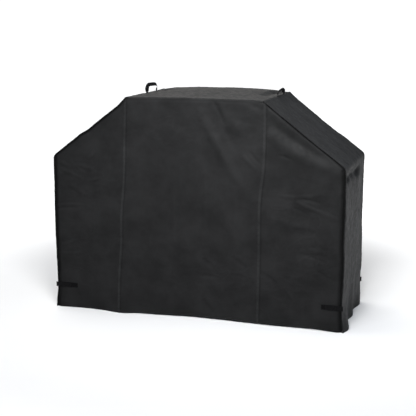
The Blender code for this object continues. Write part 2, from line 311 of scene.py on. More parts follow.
def hang_out(x, z, hem, folds, crumples, seed):
    """How far the front or the back stands out from the flat."""
    out = smooth_line(x, hem) * ease(1 - z / 0.62)
    for *path, width, height in np.array(folds) / 1000:
        out = out + fold(x, z, path, width, height)
    out = out + 0.0045 * grain(x, 0, z, 0.34, seed) + 0.0016 * grain(x, 0, z, 0.13, seed + 1)
    crumpled = 0.16
    for middle_x, middle_z, wide, high, amount in crumples:
        crumpled = crumpled + amount * peak(x, middle_x, wide) * peak(z, middle_z, high)
    small = 0.0013 * creases(x, z, 0.055, seed + 40) + 0.0004 * creases(x, z, 0.028, seed + 44)
    small = small + 0.0018 * grain(x / 2.6, 0, z, 0.030, seed + 48)
    small = small + 0.0022 * grain(x / 1.8, 1, z, 0.055, seed + 49)
    out = out + crumpled * (small - 0.0010)
    flutes = np.sin(x * 21 + 1.5 * np.sin(x * 6 + seed)) * ease(1 - z / 0.40)
    return out + 0.0022 * flutes


def side_out(y, z, side):
    """How far a side stands out from the flat: it bulges low down near its front corner, flutes towards the
    hem, and dips under the shoulder."""
    low = ease(1 - z / 0.30)
    bulge = 0.020 * peak(y, 0.045 - FRONT_Y, 0.062) * ease(1 - z / 0.20)
    flutes = 0.0070 * np.sin(y * 30 + side) * low
    sway = 0.0040 * grain(side, y, z, 0.28, 5) + 0.0020 * grain(side, y, z, 0.12, 6)
    small = 0.0018 * creases(y, z, 0.055, 61 + side) + 0.0014 * grain(y, 0, z / 1.8, 0.040, 65 + side)
    tuck = -0.002 * between(y, -0.02, FRONT_Y, 0.12) * ease(1 - z / 0.45)
    under_at = 0.758 + 0.022 * grain(0, y, side, 0.13, 77) - 0.05 * (y + 0.10) * (y < -0.10)
    under_deep = (0.016 if side > 0 else 0.008) * (1 + 0.7 * grain(side, y, 0, 0.11, 78))
    under = -under_deep * peak(z, under_at, 0.026) * between(y, -0.20, 0.08, 0.10)
    return (bulge if side > 0 else bulge * 0.5) + flutes + sway + tuck + under + 0.6 * small


def drape(x, y, z):
    """How far each point of the flat shape moves as the cloth hangs, as dx, dy, dz."""
    x, y, z = np.broadcast_arrays(x, y, z)
    dx, dy, dz = np.zeros(x.shape), np.zeros(x.shape), np.zeros(x.shape)
    near_front = ease(1 - (FRONT_Y + y) / REACH)
    near_back = ease(1 - (FRONT_Y - y) / REACH)
    dy -= hang_out(x, z, FRONT_HEM, FRONT_FOLDS, FRONT_CRUMPLES, 1) * near_front
    dy += hang_out(x, z, BACK_HEM, BACK_FOLDS, BACK_CRUMPLES, 2) * near_back
    for side in (-1, 1):
        near_side = ease(1 - (SIDE_X - side * x) / REACH)
        dx += side * side_out(y, z, side) * near_side * ease((SHOULDER_Z - z) / 0.06)
    to_slope = math.sin(SLOPE) * (SIDE_X - np.abs(x)) + math.cos(SLOPE) * (SHOULDER_Z - z)
    on_slope = ease(1 - to_slope / REACH) * ease((np.abs(x) - SEAM_X + 0.02) / 0.08)
    on_slope = on_slope * ease((z - SHOULDER_Z + 0.10) / 0.10)
    middle = np.clip(1 - (y / FRONT_Y) ** 2, 0, 1)
    sag = -0.0050 * middle + 0.0025 * grain(x, y, z, 0.16, 7) + 0.0012 * grain(x, y, z, 0.06, 8)
    sag = sag - 0.0055 * ease((y - 0.02) / 0.24) * between(np.abs(x), 0.38, 0.60, 0.08)
    sag = sag - 0.008 * between(x, -0.56, -0.40, 0.06) * near_front
    dx += np.sign(x) * math.sin(SLOPE) * sag * on_slope
    dz += math.cos(SLOPE) * sag * on_slope
    on_top = ease(1 - (HEIGHT - z) / REACH) * ease((SEAM_X + 0.02 - np.abs(x)) / 0.10)
    under_handle = near_handles(x, y)
    crown = (0.004 + 0.013 * ease((y + FRONT_Y) / (1.6 * FRONT_Y))) * (1 - under_handle)
    dz += on_top * (crown * np.clip(1 - (x / (SEAM_X + 0.02)) ** 2, 0, 1) ** 0.7
                    + 0.0018 * grain(x, y, z, 0.14, 9) * (1 - under_handle) - HANDLE_ROOM * under_handle)
    dz += 0.0055 * ease(1 - z / 0.10) * between(x, -0.24, 0.62, 0.16) * near_front
    calm = 1 - near_straps(x, y, z)
    return dx * calm, dy * calm, dz


def on_top_edge(x, z, short):
    """1 along the edges of the flat top, fading away short of its ends."""
    return between(np.abs(x), -1, SEAM_X - short, 0.05) * ease((z - SHOULDER_Z) / 0.1)


def edge_roll(x, z):
    """Radius of the rolled edge between the band and the front or back: broad along the top."""
    return 0.006 + 0.016 * on_top_edge(x, z, 0.03)


WELT_DEPTH = 0.0055
WELT_WIDTH = 0.0055
VALLEY = 0.0035  # how deep the cloth dips beside an upright edge
LIP_HEIGHT = 0.0022
STRAP_ROOM = 0.0013  # how far a side lies in where a strap can swing round onto it
SEAM_ROWS = (0.0015, 0.0068)  # the two rows of stitching, from the line of a felled seam
EDGE_ROW = 0.0125  # the row of stitching from an edge or a hem


def seam_line(v, side):
    """x of the seam between the centre panel and a wing: the cloth hangs a little askew, to the left."""
    if side < 0:
        drift = [(0, -0.048), (0.21, -0.042), (0.33, -0.033), (0.47, -0.030), (0.62, -0.0148),
                 (0.81, -0.0066), (1, 0)]
    else:
        drift = [(0, -0.028), (0.36, -0.021), (0.57, -0.018), (0.72, -0.001), (0.83, 0.003), (1, 0.002)]
    return side * SEAM_X + smooth_line(v, drift)


def hem_fold(z):
    """Height of the turned-up hem where it lies under the cloth."""
    return 0.0009 * between(z, 0.001, 0.014, 0.0015)


def felled(distance):
    """Height of a flat-felled seam across it: two folded layers, sunk along both lines of stitching."""
    raised = 0.0016 * between(distance, 0.0, 0.008, 0.0012)
    return raised - 0.0009 * sum(peak(distance, row, 0.0011) for row in SEAM_ROWS)


def pucker(distance, along, seed):
    """Small dimples that the stitching draws into the cloth beside a seam."""
    waves = grain(along, distance * 0.3, 0, 0.016, seed)
    return 0.0011 * waves * peak(distance, 0, 0.012)


def end_cloth(x, v, facing):
    """Points of the front, which faces -1, or of the back, which faces 1."""
    x, v = np.broadcast_arrays(x, v)
    z = v * band_height(x)
    inside, angle = edge_distance(x, z)
    roll = edge_roll(x, z)
    past = np.clip(roll - inside, 0, roll)
    reach = np.hypot(roll, past)
    shift = past * (roll / reach - 1)
    sunk = roll - roll * roll / reach
    welt = WELT_DEPTH * peak(inside, 0.0065, WELT_WIDTH) * (1 - 0.90 * on_top_edge(x, z, 0.04))
    upright = ease((angle - SLOPE) / 0.3) * (1 - near_straps(x, facing * FRONT_Y, z))
    welt = welt + VALLEY * peak(inside, 0.014, 0.010) * (0.30 + 0.70 * upright) * (angle > 0.01)
    out = -sunk - welt
    for side in (-1, 1):
        from_seam = side * (x - seam_line(v, side))
        out = out + felled(from_seam) + pucker(from_seam, z, 20 + side + facing)
    out = out + hem_fold(z) - 0.0008 * peak(z, EDGE_ROW, 0.0012)
    dx, dy, dz = drape(x, facing * FRONT_Y, z)
    return np.stack([
        x + np.sign(x) * np.sin(angle) * shift + dx,
        facing * (FRONT_Y + out) + dy,
        z + np.cos(angle) * shift + dz,
    ], -1)


def band_cloth(s, y):
    """Points of the band: the top between the two seams, and a side piece beyond each."""
    s, y = np.broadcast_arrays(s, y)
    x, z, angle = band_point(s)
    roll = edge_roll(x, z)
    past = np.clip(np.abs(y) - (FRONT_Y - roll), 0, roll)
    reach = np.hypot(past, roll)
    sunk = roll - roll * roll / reach
    from_edge = FRONT_Y - np.abs(y)
    lip = LIP_HEIGHT * peak(from_edge, 0.005, 0.004) - 0.0012 * peak(from_edge, EDGE_ROW, 0.002)
    lip = lip * (1 - on_top_edge(x, z, 0.04))
    from_seam = np.abs(s) - BAND_SEAM
    swung_strap = near_straps(x, y, z)
    lip = lip * (1 - swung_strap) - STRAP_ROOM * swung_strap
    out = lip - sunk + felled(from_seam) + pucker(from_seam, y, 31)
    out = out + pucker(from_edge - 0.012, s, 33)
    out = out + hem_fold(z) * (np.abs(s) > BAND_SEAM + 0.5)
    dx, dy, dz = drape(x, y, z)
    flat_y = np.where(past > 0, np.sign(y) * (FRONT_Y - roll + roll * past / reach), y)
    return np.stack([
        x + np.sign(s) * np.sin(angle) * out + dx,
        flat_y + dy,
        z + np.cos(angle) * out + dz,
    ], -1)


def spaced(start, end, step):
    """Places from start to end, close together at both ends."""
    close = np.array([0.001, 0.002, 0.0035, 0.0055, 0.008, 0.011, 0.015, 0.020])
    count = max(2, round((end - start - 2 * close[-1]) / step))
    inner = np.linspace(start + close[-1], end - close[-1], count)
    return np.concatenate([[start], start + close[:-1], inner, (end - close[:-1])[::-1], [end]])


def new_object(name, vertices, faces, finish=None, places=None):
    """A smooth mesh, set in the scene. The places are its points on the flat cloth, in metres."""
    mesh = bpy.data.meshes.new(name)
    mesh.from_pydata(vertices, [], faces)
    if places is not None:
        uv_map = mesh.uv_layers.new(name="cloth")
        corners = np.zeros(len(mesh.loops), np.int32)
        mesh.loops.foreach_get("vertex_index", corners)
        uv_map.uv.foreach_set("vector", np.array(places)[corners].astype(np.float32).ravel())
    if finish:
        mesh.materials.append(finish)
    mesh.shade_smooth()
    made = bpy.data.objects.new(name, mesh)
    bpy.context.scene.collection.objects.link(made)
    return made


def grid_mesh(name, points, cloth, outwards):
    """A mesh of a grid of points, facing outwards, with the flat cloth's own measures as its UV map."""
    rows, columns = points.shape[:2]
    index = np.arange(rows * columns).reshape(rows, columns)
    quads = np.stack([index[:-1, :-1], index[:-1, 1:], index[1:, 1:], index[1:, :-1]], -1).reshape(-1, 4)
    middle = points[rows // 2, columns // 2]
    across = points[rows // 2, columns // 2 + 1] - middle
    up = points[rows // 2 + 1, columns // 2] - middle
    follows = np.dot(np.cross(across, up), outwards) > 0
    if not follows:
        quads = quads[:, ::-1]
    made = new_object(name, points.reshape(-1, 3).tolist(), quads.tolist(), places=cloth.reshape(-1, 2))
    made["faces_follow_grid"] = bool(follows)
    return made


def crests(points):
    """How far each point of a grid stands out from the points around it, in metres."""
    around = points.copy()
    for axis in (0, 1):
        padded = np.concatenate([points.take([0], axis), points, points.take([-1], axis)], axis)
        size = points.shape[axis]
        around = around + padded.take(range(size), axis) + padded.take(range(2, size + 2), axis)
    normal = unit(np.cross(np.gradient(points, axis=1), np.gradient(points, axis=0)))
    return ((points - around / 5) * normal).sum(-1)


# ------------------------------------------------------------------------------------------------------
# The cloth itself: black polyester in a plain weave, proofed on the inside with a smooth coating. It has
# been folded for storage, so it is finely crumpled. Its colour carries a painted highlight along ridges and
# seams, and painted shade in creases, in welts and beside edges.
# ------------------------------------------------------------------------------------------------------
CLOTH_DARK = (0.0090, 0.0091, 0.0092)
CLOTH_PALE = (0.0134, 0.0135, 0.0137)
YARN_PITCH = 0.0009
LINING_COLOUR = (0.024, 0.024, 0.025)


def blank_material(name, roughness):
    """A material with one Principled shader, and a function that adds nodes to it."""
    material = bpy.data.materials.new(name)
    material.use_nodes = True
    tree = material.node_tree
    shader = tree.nodes["Principled BSDF"]
    shader.inputs["Roughness"].default_value = roughness

    def add(kind, settings=None, **inputs):
        node = tree.nodes.new(kind)
        for key, value in (settings or {}).items():
            setattr(node, key, value)
        for key, value in inputs.items():
            socket = node.inputs[int(key[1:])] if key[0] == "i" and key[1:].isdigit() else node.inputs[key]
            if isinstance(value, bpy.types.NodeSocket):
                tree.links.new(value, socket)
            else:
                socket.default_value = value
        return node

    return material, tree, shader, add


def woven_height(add, pitch_across, pitch_along):
    """A plain weave's height from 0 to 1, over the cloth's own measures."""
    flat = add("ShaderNodeUVMap", {"uv_map": "cloth"}).outputs[0]
    uneven = add("ShaderNodeTexNoise", Vector=flat, Scale=0.11 / pitch_along, Detail=2.0)
    wander = add("ShaderNodeVectorMath", {"operation": "SCALE"}, i0=uneven.outputs[1], Scale=4 * pitch_along)
    moved = add("ShaderNodeVectorMath", i0=flat, i1=wander.outputs[0])
    place = add("ShaderNodeSeparateXYZ", i0=moved.outputs[0])
    waves = []
    for axis, pitch in ((0, pitch_across), (1, pitch_along)):
        turns = add("ShaderNodeMath", {"operation": "MULTIPLY"}, i0=place.outputs[axis], i1=math.pi / pitch)
        waves.append(add("ShaderNodeMath", {"operation": "SINE"}, i0=turns.outputs[0]).outputs[0])
    crossed = add("ShaderNodeMath", {"operation": "MULTIPLY"}, i0=waves[0], i1=waves[1])
    height = add("ShaderNodeMath", {"operation": "MULTIPLY_ADD"}, i0=crossed.outputs[0], i1=0.5, i2=0.5)
    return height.outputs[0]


def colour_between(add, factor, dark, pale):
    """The colour between a dark and a pale one."""
    mixed = add("ShaderNodeMix", {"data_type": "RGBA"}, Factor=factor)
    mixed.inputs[6].default_value = (*dark, 1)
    mixed.inputs[7].default_value = (*pale, 1)
    return mixed.outputs[2]


def relief(add, tree, shader, *layers):
    """Bumps over one another, each given as its strength, its depth in metres and its height."""
    under = {}
    for strength, depth, height in layers:
        bump = add("ShaderNodeBump", Strength=strength, Distance=depth, Height=height, **under)
        under = {"Normal": bump.outputs[0]}
    tree.links.new(bump.outputs[0], shader.inputs["Normal"])


def cloth_material():
    """The outer face: mottled, with a weave and a fine crinkle, and darker or paler by the painted light and
    shade stored on the mesh.
    """
    material, tree, shader, add = blank_material("cover_cloth", 0.58)
    place = add("ShaderNodeTexCoord").outputs["Object"]
    mottle = add("ShaderNodeTexNoise", Vector=place, Scale=9.0, Detail=5.0, Roughness=0.62)
    spread = add("ShaderNodeMapRange", i0=mottle.outputs[0], i1=0.36, i2=0.64)
    colour = colour_between(add, spread.outputs[0], CLOTH_DARK, CLOTH_PALE)
    weave = woven_height(add, YARN_PITCH, YARN_PITCH)
    yarn = add("ShaderNodeMath", {"operation": "MULTIPLY_ADD"}, i0=weave, i1=0.14, i2=0.93)
    # The painted light and shade stored on the mesh lighten or darken the cloth's colour.
    tone = add("ShaderNodeAttribute", {"attribute_name": "tone"}).outputs["Fac"]
    shade = add("ShaderNodeMath", {"operation": "MULTIPLY"}, i0=yarn.outputs[0], i1=tone)
    shaded = add("ShaderNodeVectorMath", {"operation": "SCALE"}, i0=colour, Scale=shade.outputs[0])
    tree.links.new(shaded.outputs[0], shader.inputs["Base Color"])
    crinkle = add("ShaderNodeTexNoise", Vector=place, Scale=48.0, Detail=4.0, Roughness=0.5).outputs[0]
    polish = add("ShaderNodeMapRange", i0=crinkle, i1=0.3, i2=0.7, i3=0.50, i4=0.66)
    tree.links.new(polish.outputs[0], shader.inputs["Roughness"])
    relief(add, tree, shader, (0.20, 0.0010, crinkle), (0.35, 0.00012, weave))
    shader.inputs["Specular IOR Level"].default_value = 0.05
    shader.inputs["Sheen Weight"].default_value = 0.01
    shader.inputs["Sheen Roughness"].default_value = 0.5
    return material


def lining_material():
    """The inner face, with its smooth proofing."""
    material, tree, shader, add = blank_material("cover_lining", 0.42)
    place = add("ShaderNodeTexCoord").outputs["Object"]
    mottle = add("ShaderNodeTexNoise", Vector=place, Scale=24.0, Detail=4.0).outputs[0]
    dark, pale = ([share * c for c in LINING_COLOUR] for share in (0.7, 1.3))
    tree.links.new(colour_between(add, mottle, dark, pale), shader.inputs["Base Color"])
    relief(add, tree, shader, (0.3, 0.001, mottle), (0.12, 0.0001, woven_height(add, YARN_PITCH, YARN_PITCH)))
    return material


cloth_outside = cloth_material()
cloth_inside = lining_material()
GRID_STEP = 0.005


def add_cloth(name, points, flat_places, tone, outwards, node):
    """A panel of the cover: cloth of its real thickness, smooth side in, in place of its plain CAD solid."""
    panel = grid_mesh(name, points, flat_places, outwards)
    # Painted highlight on the ridges of the crumples and painted shade in their creases, added to the panel's
    # painted light and shade.
    lift = crests(points) if panel["faces_follow_grid"] else -crests(points)
    ridges = np.clip(lift / (5 * GRID_STEP ** 2), -1, 1)
    tone = np.clip(tone + 0.10 * ridges, 0.2, 2.5)
    shade = panel.data.attributes.new("tone", "FLOAT", "POINT")
    shade.data.foreach_set("value", tone.astype(np.float32).ravel())
    panel.data.materials.append(cloth_outside)
    panel.data.materials.append(cloth_inside)
    body = panel.modifiers.new("thickness", "SOLIDIFY")
    body.thickness = CLOTH
    body.offset = -1
    body.material_offset = 1
    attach(panel, "cover")
    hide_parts(node)
    return panel


# ------------------------------------------------------------------------------------------------------
# Front and back: a centre panel and two wings each, joined by flat-felled seams with two rows of
# stitching. Each wing is cut to the slope, and its outer edges are sewn to the band with a welt.
# ------------------------------------------------------------------------------------------------------
# Painted light and shade in the colour of the front and back.
SEAM_PAINTED_HIGHLIGHT = 0.42
SEAM_PAINTED_SHADE = 0.28
WELT_PAINTED_SHADE = 0.72
EDGE_PAINTED_SHADE = 0.26  # painted shade: how much darker the ends are painted close to the slopes and sides, where they turn from the light


def end_painted_light_and_shade(x, v):
    """Painted highlight on each seam's raised band, and painted shade beside it, in the welt, near the slopes
    and sides, below the top edge and along the hem's stitch row.
    """
    z = v * band_height(x)
    inside, angle = edge_distance(x, z)
    broad = 0.0055 + 0.0055 * ease((angle - SLOPE) / 0.3)
    # painted shade in the welt, and painted shade fading inwards from the slopes and sides
    tone = 1 - WELT_PAINTED_SHADE * peak(inside, broad, broad + 0.001) * (angle > 0.01)
    tone = tone * (1 - EDGE_PAINTED_SHADE * np.exp(-inside / 0.040) * (angle > 0.01))
    # painted shadow of the top seam, in a line just below the top edge
    tone = tone - 0.22 * peak(inside, 0.010, 0.009) * (angle <= 0.01)
    for side in (-1, 1):
        from_seam = side * (x - seam_line(v, side))
        # painted highlight on each seam's raised band, broken into dots
        dots = 0.80 + 0.5 * grain(z, 0, 0, 0.014, 50 + side) + 0.4 * grain(z, 0, 0, 0.08, 54 + side)
        tone = tone + SEAM_PAINTED_HIGHLIGHT * between(from_seam, -0.0010, 0.0085, 0.004) * dots
        # painted shade just beside each seam's raised band
        painted_shade_at = -0.0050 if side < 0 else 0.0140
        tone = tone - SEAM_PAINTED_SHADE * peak(from_seam, painted_shade_at, 0.0035)
    # painted shade along the sunk row of hem stitching
    return tone - 0.35 * peak(z, EDGE_ROW, 0.0015)


def end_panel(name, flat_columns, drift, facing, outwards):
    """A panel of the front or back, from its columns on the flat and how far each drifts."""
    rows = spaced(0, HEIGHT, GRID_STEP) / HEIGHT
    v, flat_x = net(rows, flat_columns)
    x = flat_x + drift(flat_x, v)
    points, places = end_cloth(x, v, facing), np.stack([flat_x, v * band_height(x)], -1)
    return add_cloth(f"{name}_cloth", points, places, end_painted_light_and_shade(x, v), outwards, f"{name}_panel")


cut_heights = np.linspace(0, HEIGHT, 200)
left_seam, right_seam = (seam_line(cut_heights / HEIGHT, side) for side in (-1, 1))


for end, facing in (("front", -1), ("back", 1)):
    outwards = (0, facing, 0)

    def center_drift(flat_x, v):
        share = (flat_x + SEAM_X) / (2 * SEAM_X)
        left, right = seam_line(v, -1) + SEAM_X, seam_line(v, 1) - SEAM_X
        return left + (right - left) * share

    panel = end_panel(f"{end}_center", spaced(-SEAM_X, SEAM_X, GRID_STEP), center_drift, facing, outwards)
    wing_width = SIDE_X - SEAM_X
    for side_name, side in (("left", -1), ("right", 1)):

        def wing_drift(flat_x, v):
            share = 1 - (np.abs(flat_x) - SEAM_X) / wing_width
            return (seam_line(v, side) - side * SEAM_X) * share

        columns = np.sort(side * spaced(SEAM_X, SIDE_X, GRID_STEP))
        panel = end_panel(f"{end}_{side_name}", columns, wing_drift, facing, outwards)

# ------------------------------------------------------------------------------------------------------
# The band: the top panel lies on the lid of the grill, and a side piece hangs from each end of it. The
# side pieces bend softly over the shoulders, where they have no seam.
# ------------------------------------------------------------------------------------------------------


def band_painted_light_and_shade(s, y):
    """Painted highlight on the lip beside the welt and on the seams of the top, and painted shade along the
    stitch row and at each seam's line.
    """
    from_edge = FRONT_Y - np.abs(y)
    from_seam = np.abs(s) - BAND_SEAM
    # painted highlight on the lip, and painted shade in the sunk stitch row
    tone = 1 + 0.22 * peak(from_edge, 0.004, 0.003) - 0.30 * peak(from_edge, EDGE_ROW, 0.0015)
    # painted highlight on each seam's raised band, and painted shade at the seam's line
    tone = tone + 0.25 * between(from_seam, 0.002, 0.006, 0.002)
    return tone - 0.60 * peak(from_seam, -0.001, 0.003)


def band_panel(name, start, end, node, outwards):
    """A piece of the band between two distances round it."""
    places = spaced(start, end, GRID_STEP)
    bends = np.sign(start + end) * np.linspace(run_ends[3], run_ends[4], 9)
    if start < bends.min() and bends.max() < end:
        clear = np.abs(places[:, None] - bends[None]).min(1) > 0.002
        places = np.sort(np.concatenate([places[clear], bends]))
    s, y = net(places, spaced(-FRONT_Y, FRONT_Y, GRID_STEP))
    return add_cloth(name, band_cloth(s, y), np.stack([y, s], -1), band_painted_light_and_shade(s, y), outwards, node)


top = band_panel("top_cloth", -BAND_SEAM, BAND_SEAM, "top_panel", (0, 0, 1))
right = band_panel("right_side_cloth", BAND_SEAM, BAND_END, "right_side_panel", (1, 0, 0))
left = band_panel("left_side_cloth", -BAND_END, -BAND_SEAM, "left_side_panel", (-1, 0, 0))

# ------------------------------------------------------------------------------------------------------
# Binding tapes and hem folds: strips of woven tape sewn flat over every seam inside, and the raw edge of
# the cloth turned up twice round the foot.
# ------------------------------------------------------------------------------------------------------
TAPE_WIDTH = 0.022
TAPE_THICKNESS = 0.0006
TAPE_STEP = 0.011
HEM_HEIGHT = 0.0145
TAPE_START = 0.003  # from a seam of the band, or above a hem fold
TOP_TAPE_DROP = 0.026  # from the top down to the tape along it


def trim_material(name, dark, pale, roughness, pitch_across, pitch_along, depth, sheen):
    """A matt woven trim: its UV map is in metres, across and along."""
    material, tree, shader, add = blank_material(name, roughness)
    weave = woven_height(add, pitch_across, pitch_along)
    place = add("ShaderNodeTexCoord").outputs["Object"]
    fuzz = add("ShaderNodeTexNoise", Vector=place, Scale=600.0, Detail=3.0).outputs[0]
    blend = add("ShaderNodeMath", {"operation": "MULTIPLY"}, i0=weave, i1=fuzz)
    tree.links.new(colour_between(add, blend.outputs[0], dark, pale), shader.inputs["Base Color"])
    relief(add, tree, shader, (0.3, depth, fuzz), (0.8, depth, weave))
    shader.inputs["Specular IOR Level"].default_value = 0.08
    shader.inputs["Sheen Weight"].default_value = sheen
    return material


tape_finish = trim_material("seam_tape", (0.010, 0.010, 0.011), (0.030, 0.030, 0.031), 0.8, 0.0006, 0.0008,
                            0.0002, 0.05)


def normals_of(points, outwards):
    """The outward directions of a grid of points."""
    normal = unit(np.cross(np.gradient(points, axis=0), np.gradient(points, axis=1)))
    return normal * np.sign((normal.reshape(-1, 3) @ np.array(outwards, float)).mean())


def inner_strip(name, points, places, outwards, thickness, finish):
    """A strip sewn to the inside of the cloth whose points are given."""
    inset = points - normals_of(points, outwards) * (CLOTH + 0.0002)
    strip = grid_mesh(name, inset, places, outwards)
    strip.data.materials.append(finish)
    body = strip.modifiers.new("thickness", "SOLIDIFY")
    body.thickness = thickness
    body.offset = -1
    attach(strip, "cover")
    return strip


def end_strip(name, x, v, facing, thickness, finish):
    """A strip inside the front or back, over the given columns and rows."""
    v, x = net(v, x)
    places = np.stack([x, v * HEIGHT], -1)
    return inner_strip(name, end_cloth(x, v, facing), places, (0, facing, 0), thickness, finish)


def band_strip(name, s, y, outwards, thickness, finish):
    """A strip inside the band, over the given distances round it and along it."""
    s, y = net(s, y)
    return inner_strip(name, band_cloth(s, y), np.stack([y, s], -1), outwards, thickness, finish)


hem_rows = np.array([0.0002, 0.003, 0.006, 0.009, 0.012, HEM_HEIGHT])
tape_foot = HEM_HEIGHT + TAPE_START
across = np.linspace(-TAPE_WIDTH / 2, TAPE_WIDTH / 2, 6)
top_tape_z = HEIGHT - TOP_TAPE_DROP - TAPE_WIDTH / 2 + across
for end, facing in (("front", -1), ("back", 1)):
    hem_x = np.linspace(-SIDE_X + 0.006, SIDE_X - 0.006, round(2 * SIDE_X / TAPE_STEP))
    hem = end_strip(f"{end}_hem_fold", hem_x, hem_rows / UPRIGHT_Z, facing, 2 * CLOTH, cloth_inside)
    for side_name, side in (("left", -1), ("right", 1)):
        rise = np.linspace(tape_foot / HEIGHT, (HEIGHT - 0.032) / HEIGHT, round(HEIGHT / TAPE_STEP))
        v, offset = net(rise, across)
        x = seam_line(v, side) + offset
        places = np.stack([offset, v * HEIGHT], -1)
        tape = inner_strip(f"{end}_{side_name}_seam_binding", end_cloth(x, v, facing), places,
                           (0, facing, 0), TAPE_THICKNESS, tape_finish)
        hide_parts(f"{end}_{side_name}_seam_tape")
        run = side * np.linspace(BAND_SEAM + TAPE_START, BAND_END - tape_foot, round(1.3 / TAPE_STEP))
        inner_y = facing * (FRONT_Y - 0.008 - np.linspace(0, TAPE_WIDTH, 6))
        tape = band_strip(f"{end}_{side_name}_corner_binding", run, inner_y, (side, 0, 0.3), TAPE_THICKNESS,
                          tape_finish)
        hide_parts(f"{end}_{side_name}_corner_tape")
    top_x = np.linspace(-SEAM_X + 0.005, SEAM_X - 0.005, round(2 * SEAM_X / TAPE_STEP))
    tape = end_strip(f"{end}_top_binding", top_x, top_tape_z / HEIGHT, facing, TAPE_THICKNESS, tape_finish)
    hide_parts(f"{end}_top_tape")
for side_name, side in (("left", -1), ("right", 1)):
    run = side * np.linspace(BAND_SEAM + TAPE_START, BAND_SEAM + TAPE_START + TAPE_WIDTH, 6)
    inner_y = np.linspace(-FRONT_Y + 0.034, FRONT_Y - 0.034, round(2 * FRONT_Y / TAPE_STEP))
    tape = band_strip(f"{side_name}_top_binding", run, inner_y, (side, 0, 1), TAPE_THICKNESS, tape_finish)
    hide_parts(f"{side_name}_top_tape")
    hem_y = np.linspace(-FRONT_Y + 0.008, FRONT_Y - 0.008, round(2 * FRONT_Y / TAPE_STEP))
    hem = band_strip(f"{side_name}_hem_fold", side * (BAND_END - hem_rows), hem_y, (side, 0, 0), 2 * CLOTH,
                     cloth_inside)

# ------------------------------------------------------------------------------------------------------
# Stitching: bonded black thread, in lockstitches of about 4 mm, two rows on each felled seam and one
# beside each welt, round the hem, and round each patch.
# ------------------------------------------------------------------------------------------------------
STITCH_PITCH = 0.0044
STITCH_LENGTH = 0.0034
THREAD_RADIUS = 0.00036
THREAD_SIDES = 5
THREAD_DARK = (0.010, 0.010, 0.0105)
THREAD_PALE = (0.038, 0.038, 0.0385)


def thread_material(name, share):
    """Bonded thread; a share below 1 is darker."""
    material, tree, shader, add = blank_material(name, 0.6)
    place = add("ShaderNodeTexCoord").outputs["Object"]
    twist = add("ShaderNodeTexNoise", Vector=place, Scale=900.0, Detail=2.0).outputs[0]
    dark, pale = ([share * c for c in colour] for colour in (THREAD_DARK, THREAD_PALE))
    tree.links.new(colour_between(add, twist, dark, pale), shader.inputs["Base Color"])
    relief(add, tree, shader, (0.4, 0.0001, twist))
    shader.inputs["Specular IOR Level"].default_value = 0.1
    return material


thread_finish = thread_material("thread", 1.0)


def stitches_along(paths, name, body, finish=thread_finish):
    """Thread along rows of stitching. A path is its points on the cloth and the outward directions there."""
    vertices, faces = [], []
    turn = np.arange(THREAD_SIDES) * 2 * math.pi / THREAD_SIDES
    for points, normals in paths:
        travel = travelled(points)
        for start in np.arange(0.001, travel[-1] - STITCH_LENGTH, STITCH_PITCH):
            stations = start + STITCH_LENGTH * np.array([0, 0.22, 0.78, 1])
            lifts = np.array([-0.0004, 0.00012, 0.00012, -0.0004])
            at = np.stack([np.interp(stations, travel, points[:, k]) for k in range(3)], -1)
            up = unit(np.array([np.interp(start, travel, normals[:, k]) for k in range(3)]))
            beside = unit(np.cross(at[-1] - at[0], up))
            first = len(vertices)
            for centre, lift in zip(at, lifts):
                centre = centre + up * lift
                ring = centre + THREAD_RADIUS * (np.outer(np.cos(turn), beside) + np.outer(np.sin(turn), up))
                vertices.extend(ring.tolist())
            for k in range(3):
                for i in range(THREAD_SIDES):
                    j = (i + 1) % THREAD_SIDES
                    a, b = first + k * THREAD_SIDES, first + (k + 1) * THREAD_SIDES
                    faces.append((a + i, a + j, b + j, b + i))
            faces.append(tuple(first + i for i in reversed(range(THREAD_SIDES))))
            faces.append(tuple(first + 3 * THREAD_SIDES + i for i in range(THREAD_SIDES)))
    made = new_object(name, vertices, faces, finish)
    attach(made, body)
    return made


def middle_row(points, outwards):
    """The middle row of a narrow grid of cloth, and its outward directions."""
    return points[:, 1], normals_of(points, outwards)[:, 1]


BESIDE = np.array([-0.0008, 0, 0.0008])
for end, facing in (("front", -1), ("back", 1)):
    rows = []
    for side in (-1, 1):
        for distance in SEAM_ROWS:
            v, offset = net(np.linspace(0.002, 0.985, 560), distance + BESIDE)
            x = seam_line(v, side) + side * offset
            rows.append(middle_row(end_cloth(x, v, facing), (0, facing, 0)))
    stitches_along(rows, f"{end}_seam_stitches", "cover")
    rows = []
    s, y = net(np.linspace(-BAND_END + 0.02, BAND_END - 0.02, 1500), facing * (FRONT_Y - EDGE_ROW - BESIDE))
    rows.append(middle_row(band_cloth(s, y), (0, 0, 1)))
    x, z = net(np.linspace(-SIDE_X + 0.01, SIDE_X - 0.01, 700), EDGE_ROW + BESIDE)
    rows.append(middle_row(end_cloth(x, z / band_height(x), facing), (0, facing, 0)))
    stitches_along(rows, f"{end}_edge_stitches", "cover")
for side_name, side in (("left", -1), ("right", 1)):
    rows = []
    for distance in SEAM_ROWS:
        y, s = net(np.linspace(-FRONT_Y + 0.016, FRONT_Y - 0.016, 280),
                   side * (BAND_SEAM + distance + BESIDE))
        rows.append(middle_row(band_cloth(s, y), (side * math.sin(SLOPE), 0, math.cos(SLOPE))))
    y, s = net(np.linspace(-FRONT_Y + 0.01, FRONT_Y - 0.01, 280), side * (BAND_END - EDGE_ROW + BESIDE))
    rows.append(middle_row(band_cloth(s, y), (side, 0, 0)))
    stitches_along(rows, f"{side_name}_stitches", "cover")

